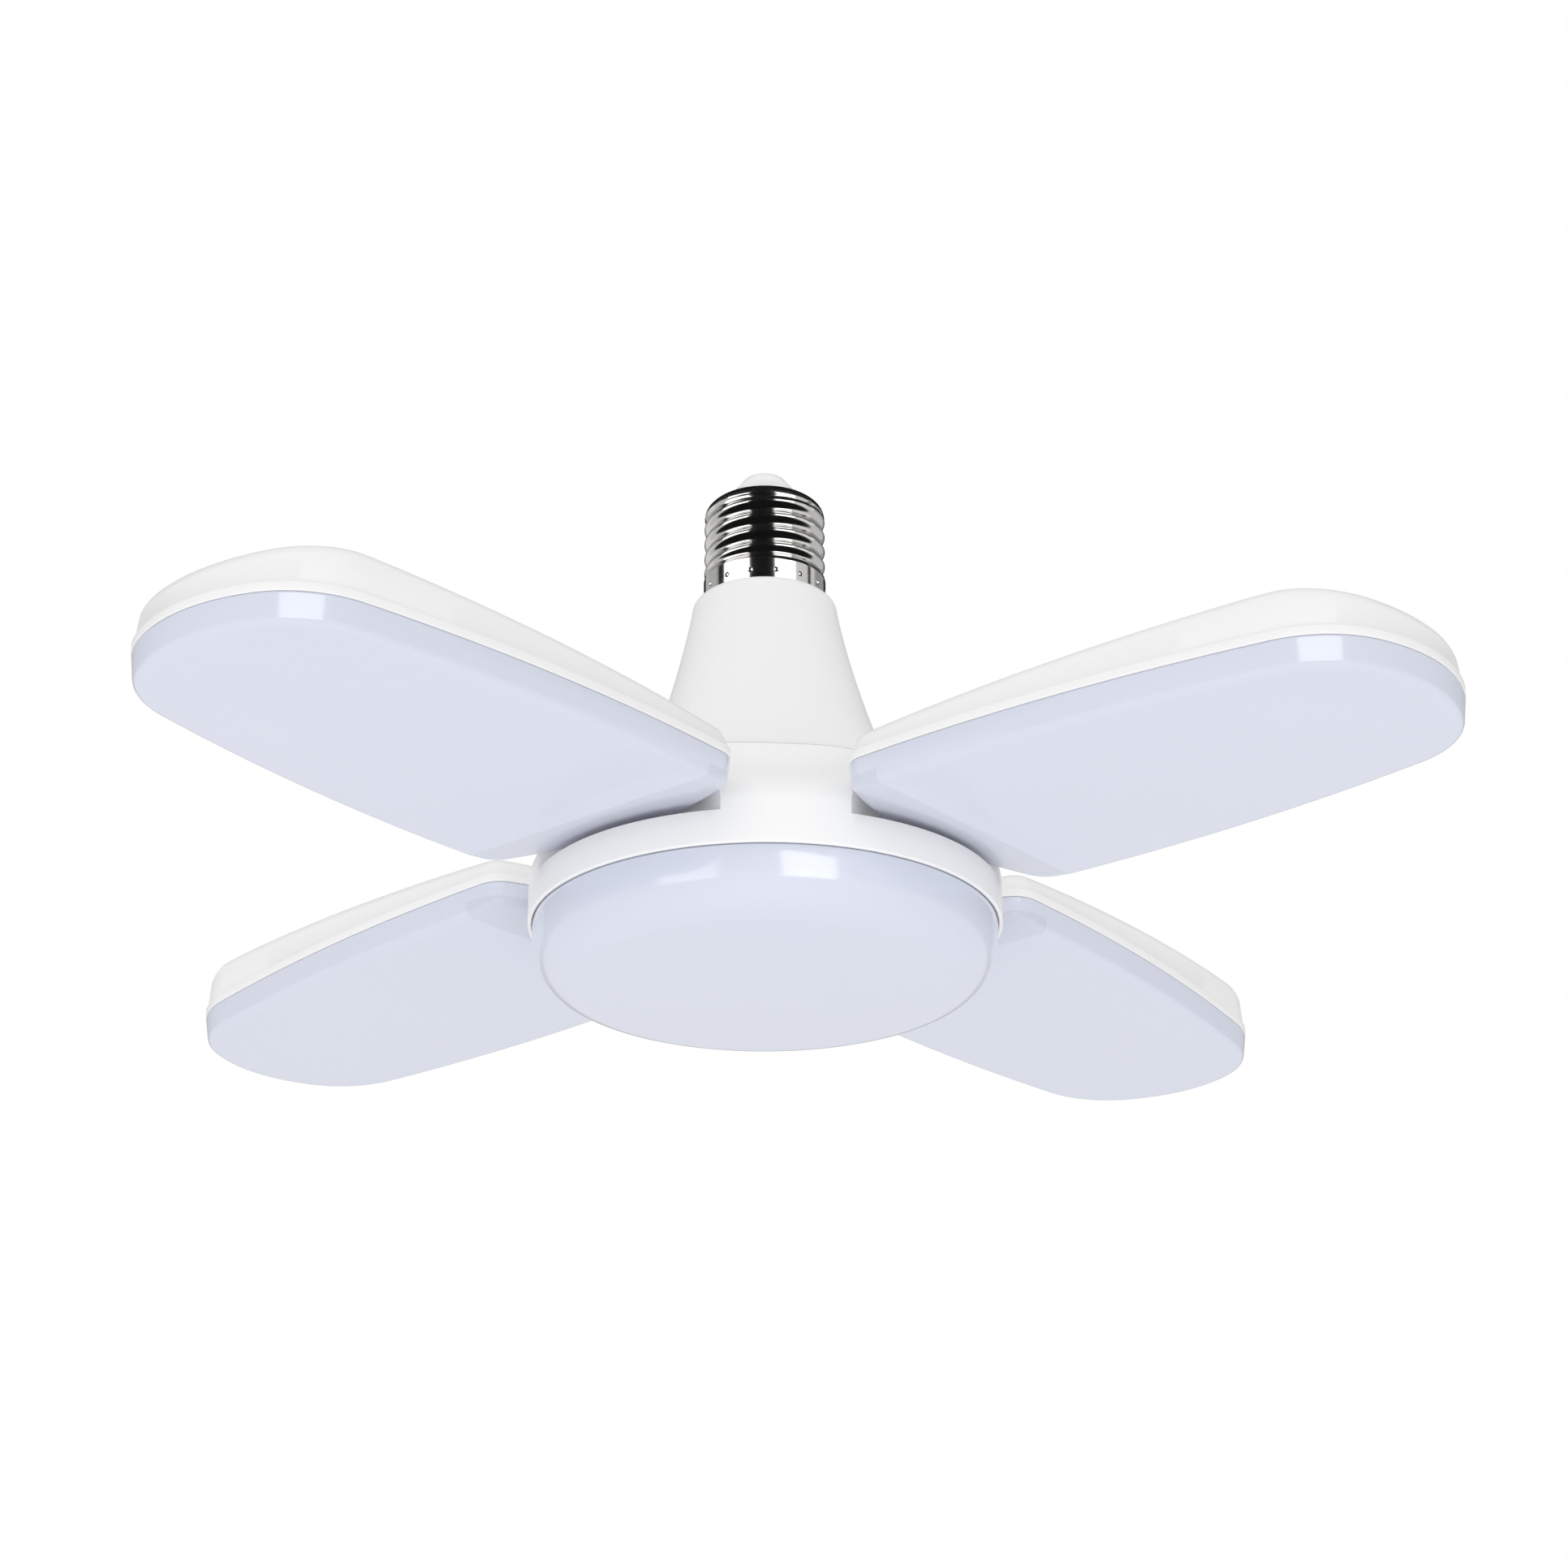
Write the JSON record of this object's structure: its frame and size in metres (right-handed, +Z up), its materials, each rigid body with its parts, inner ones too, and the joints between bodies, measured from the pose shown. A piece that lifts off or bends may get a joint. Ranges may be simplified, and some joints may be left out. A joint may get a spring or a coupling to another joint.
{
  "type": "deformable garage light",
  "caption": "Screw-cap ceiling lamp with a round centre light and hinged flat light leaves that fold up or down to aim the light.",
  "frame": {"origin": "tip of the screw cap's centre contact, on the lamp's axis", "axes": "+Z up along the screw cap's axis towards the lamp holder; the lamp hangs below; leaf 1 points along +X and leaf 2 along +Y"},
  "size_m": [0.3192, 0.3193, 0.1215],
  "materials": {
    "plated_shell": "bright nickel plating",
    "cap_insulation": "smooth white",
    "contact_metal": "soldered",
    "live_wire": "sleeved",
    "neutral_wire": "sleeved",
    "neck_plastic": "satin",
    "green_board": "solder mask",
    "capacitor_sleeve": "shrunk sleeve",
    "winding_tape": "taped",
    "black_component": "moulded",
    "resistor_body": "lacquered",
    "housing_plastic": "satin",
    "screw_steel": "zinc",
    "heat_aluminium": "plain",
    "white_board": "white solder mask",
    "led_phosphor": "phosphor",
    "milky_diffuser": "milky",
    "white_wire": "sleeved",
    "leaf_plastic": "satin",
    "hinge_steel": "zinc",
    "washer_fibre": "fibre"
  },
  "bodies": {
    "housing": {"screw_cap": "plated_shell", "cap_insulator": "cap_insulation", "centre_contact": "contact_metal", "live_lead": "live_wire", "neutral_lead": "neutral_wire", "neck_housing": "neck_plastic", "driver_board": "green_board", "bulk_capacitor": "capacitor_sleeve", "transformer": "winding_tape", "rectifier": "black_component", "driver_chip": "black_component", "fuse_resistor": "resistor_body", "lower_housing": "housing_plastic", "housing_screws": "screw_steel", "heat_plate": "heat_aluminium", "hub_led_board": "white_board", "hub_leds": "led_phosphor", "hub_board_screws": "screw_steel", "hub_lens": "milky_diffuser", "hub_leads": "white_wire", "leaf_feed_leads": "white_wire", "hinge_screw_1": "hinge_steel", "hinge_screw_2": "hinge_steel", "hinge_screw_3": "hinge_steel", "hinge_screw_4": "hinge_steel", "hinge_nut_1": "hinge_steel", "hinge_nut_2": "hinge_steel", "hinge_nut_3": "hinge_steel", "hinge_nut_4": "hinge_steel", "friction_washers_1": "washer_fibre", "friction_washers_2": "washer_fibre", "friction_washers_3": "washer_fibre", "friction_washers_4": "washer_fibre"},
    "leaf_1": {"leaf_shell_1": "leaf_plastic", "leaf_board_1": "white_board", "leaf_leds_1": "led_phosphor", "leaf_screws_1": "screw_steel", "leaf_diffuser_1": "milky_diffuser", "leaf_lead_1": "white_wire"},
    "leaf_2": {"leaf_shell_2": "leaf_plastic", "leaf_board_2": "white_board", "leaf_leds_2": "led_phosphor", "leaf_screws_2": "screw_steel", "leaf_diffuser_2": "milky_diffuser", "leaf_lead_2": "white_wire"},
    "leaf_3": {"leaf_shell_3": "leaf_plastic", "leaf_board_3": "white_board", "leaf_leds_3": "led_phosphor", "leaf_screws_3": "screw_steel", "leaf_diffuser_3": "milky_diffuser", "leaf_lead_3": "white_wire"},
    "leaf_4": {"leaf_shell_4": "leaf_plastic", "leaf_board_4": "white_board", "leaf_leds_4": "led_phosphor", "leaf_screws_4": "screw_steel", "leaf_diffuser_4": "milky_diffuser", "leaf_lead_4": "white_wire"}
  },
  "joints": [
    {"name": "leaf_1_fold", "type": "hinge", "parent": "housing", "child": "leaf_1", "pos_m": [0.043, 0, -0.08697], "axis": [0, -1, 0], "range_deg": [-5.5, 90.5]},
    {"name": "leaf_2_fold", "type": "hinge", "parent": "housing", "child": "leaf_2", "pos_m": [0, 0.043, -0.08697], "axis": [1, 0, 0], "range_deg": [-3.5, 92.5]},
    {"name": "leaf_3_fold", "type": "hinge", "parent": "housing", "child": "leaf_3", "pos_m": [-0.043, 0, -0.08697], "axis": [0, 1, 0], "range_deg": [-2.9, 93.1]},
    {"name": "leaf_4_fold", "type": "hinge", "parent": "housing", "child": "leaf_4", "pos_m": [0, -0.043, -0.08697], "axis": [-1, 0, 0], "range_deg": [-6, 90]}
  ]
}
